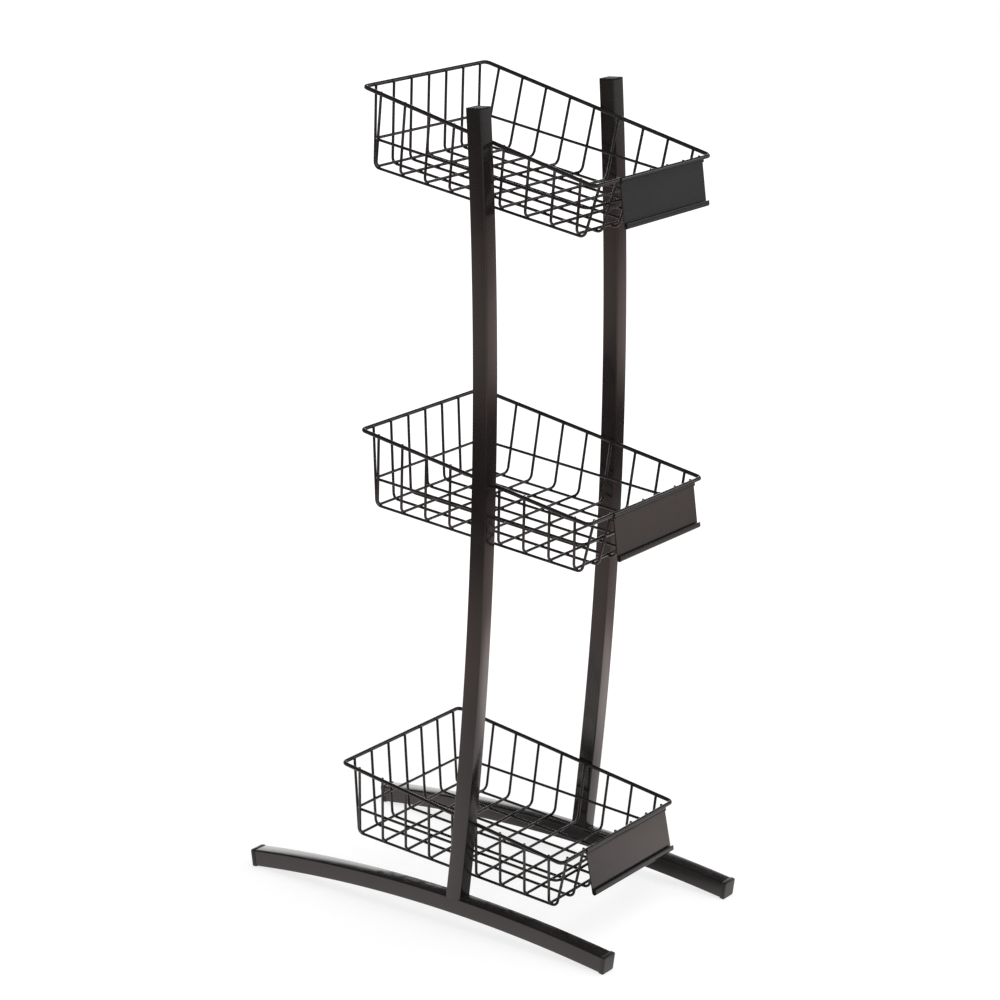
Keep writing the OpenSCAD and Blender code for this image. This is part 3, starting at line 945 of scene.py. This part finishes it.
lights = {
    "overhead": {"place": (0.3, -0.5, 2.8), "aim": (0, -0.05, 0.3), "size": (2.2, 2.2),
                 "watts": 34.0},
    "frontRight": {"place": (1.35, -1.15, 0.62), "aim": (0, -0.1, 0.42), "size": (1.1, 1.1),
                   "watts": 9.0},
    "leftFill": {"place": (-2.6, -1.0, 1.5), "aim": (0, 0, 0.5), "size": (0.5, 1.6),
                 "watts": 6.0},
}


def makeLights():
    # the lamps light the pieces and cast the shadow, but the paint doesn't mirror them
    for name, light in lights.items():
        lamp = bpy.data.lights.new(name, "AREA")
        lamp.shape = "RECTANGLE"
        lamp.size, lamp.size_y = light["size"]
        lamp.energy = light["watts"]
        obj = bpy.data.objects.new(name, lamp)
        way = Vector(light["aim"]) - Vector(light["place"])
        obj.matrix_world = facing(light["place"], way, "-Z")
        obj.visible_camera = False
        obj.visible_glossy = False
        bpy.context.scene.collection.objects.link(obj)


studio = {
    "fill": 0.55, "dark": 0.05, "side": 0.33, "low": (0.30, 0.38, 1.0, 0.0),
    "strip": 0.06, "stripEdge": (0.02, 0.08, 0.12, 1.0),
    "behind": (0.71, 0.70, 0.0), "behindEdge": (0.45, 0.85), "bright": 2.3,
    "box": (0.780, -0.567, 0.264), "boxEdge": (0.975, 0.993, 0.0, 1.3),
}


def makeStudio():
    # white all round to the eye; the paint mirrors a bright low backdrop behind the stand, a
    # low wall with a dark strip elsewhere, a soft box to the front right and a dark room above
    world = bpy.data.worlds.new("studio")
    bpy.context.scene.world = world
    recipe = Recipe(world)
    direction = recipe.add("ShaderNodeTexCoord", output="Generated")
    height = recipe.heightOf(direction)
    direct, mirrored = rayKinds(recipe)
    offset = recipe.add("ShaderNodeMath", {"operation": "ABSOLUTE"},
                        {0: height - studio["strip"]})
    wall = studio["side"] * recipe.spread(offset, *studio["stripEdge"])
    behind = recipe.spread(lengthAlong(recipe, direction, studio["behind"]),
                           *studio["behindEdge"])
    backdrop = wall * (1 - behind) + studio["bright"] * behind
    box = recipe.spread(lengthAlong(recipe, direction, studio["box"]), *studio["boxEdge"])
    gloss = studio["dark"] + recipe.spread(height, *studio["low"]) * backdrop + box
    strength = direct + (1 - direct) * ((1 - mirrored) * studio["fill"] + mirrored * gloss)
    background = recipe.add("ShaderNodeBackground", {}, {
        "Color": (1, 1, 1, 1), "Strength": strength})
    recipe.surface(background, "ShaderNodeOutputWorld")


camera = {"place": (-3.00764, -2.18870, 1.63206), "yaw": 35.994, "pitch": -15.315,
          "roll": 0.195, "sensor": 36.0, "lens": 111.587, "shift": (0.00563, -0.07657)}


def makeCamera():
    data = bpy.data.cameras.new("camera")
    data.sensor_width = camera["sensor"]
    data.lens = camera["lens"]
    data.shift_x, data.shift_y = camera["shift"]
    yaw, pitch, roll = (radians(camera[k]) for k in ("yaw", "pitch", "roll"))
    ahead = Vector((cos(pitch) * cos(yaw), cos(pitch) * sin(yaw), sin(pitch)))
    right = ahead.cross(Vector((0, 0, 1))).normalized()
    up = right.cross(ahead)
    side = cos(roll) * right + sin(roll) * up
    above = cos(roll) * up - sin(roll) * right
    matrix = Matrix((side, above, -ahead)).transposed().to_4x4()
    obj = bpy.data.objects.new("camera", data)
    obj.matrix_world = Matrix.Translation(camera["place"]) @ matrix
    bpy.context.scene.collection.objects.link(obj)
    bpy.context.scene.camera = obj


makeFloor()
makeLights()
makeStudio()
makeCamera()
bpy.context.scene.view_settings.view_transform = "Standard"
print("studio set")
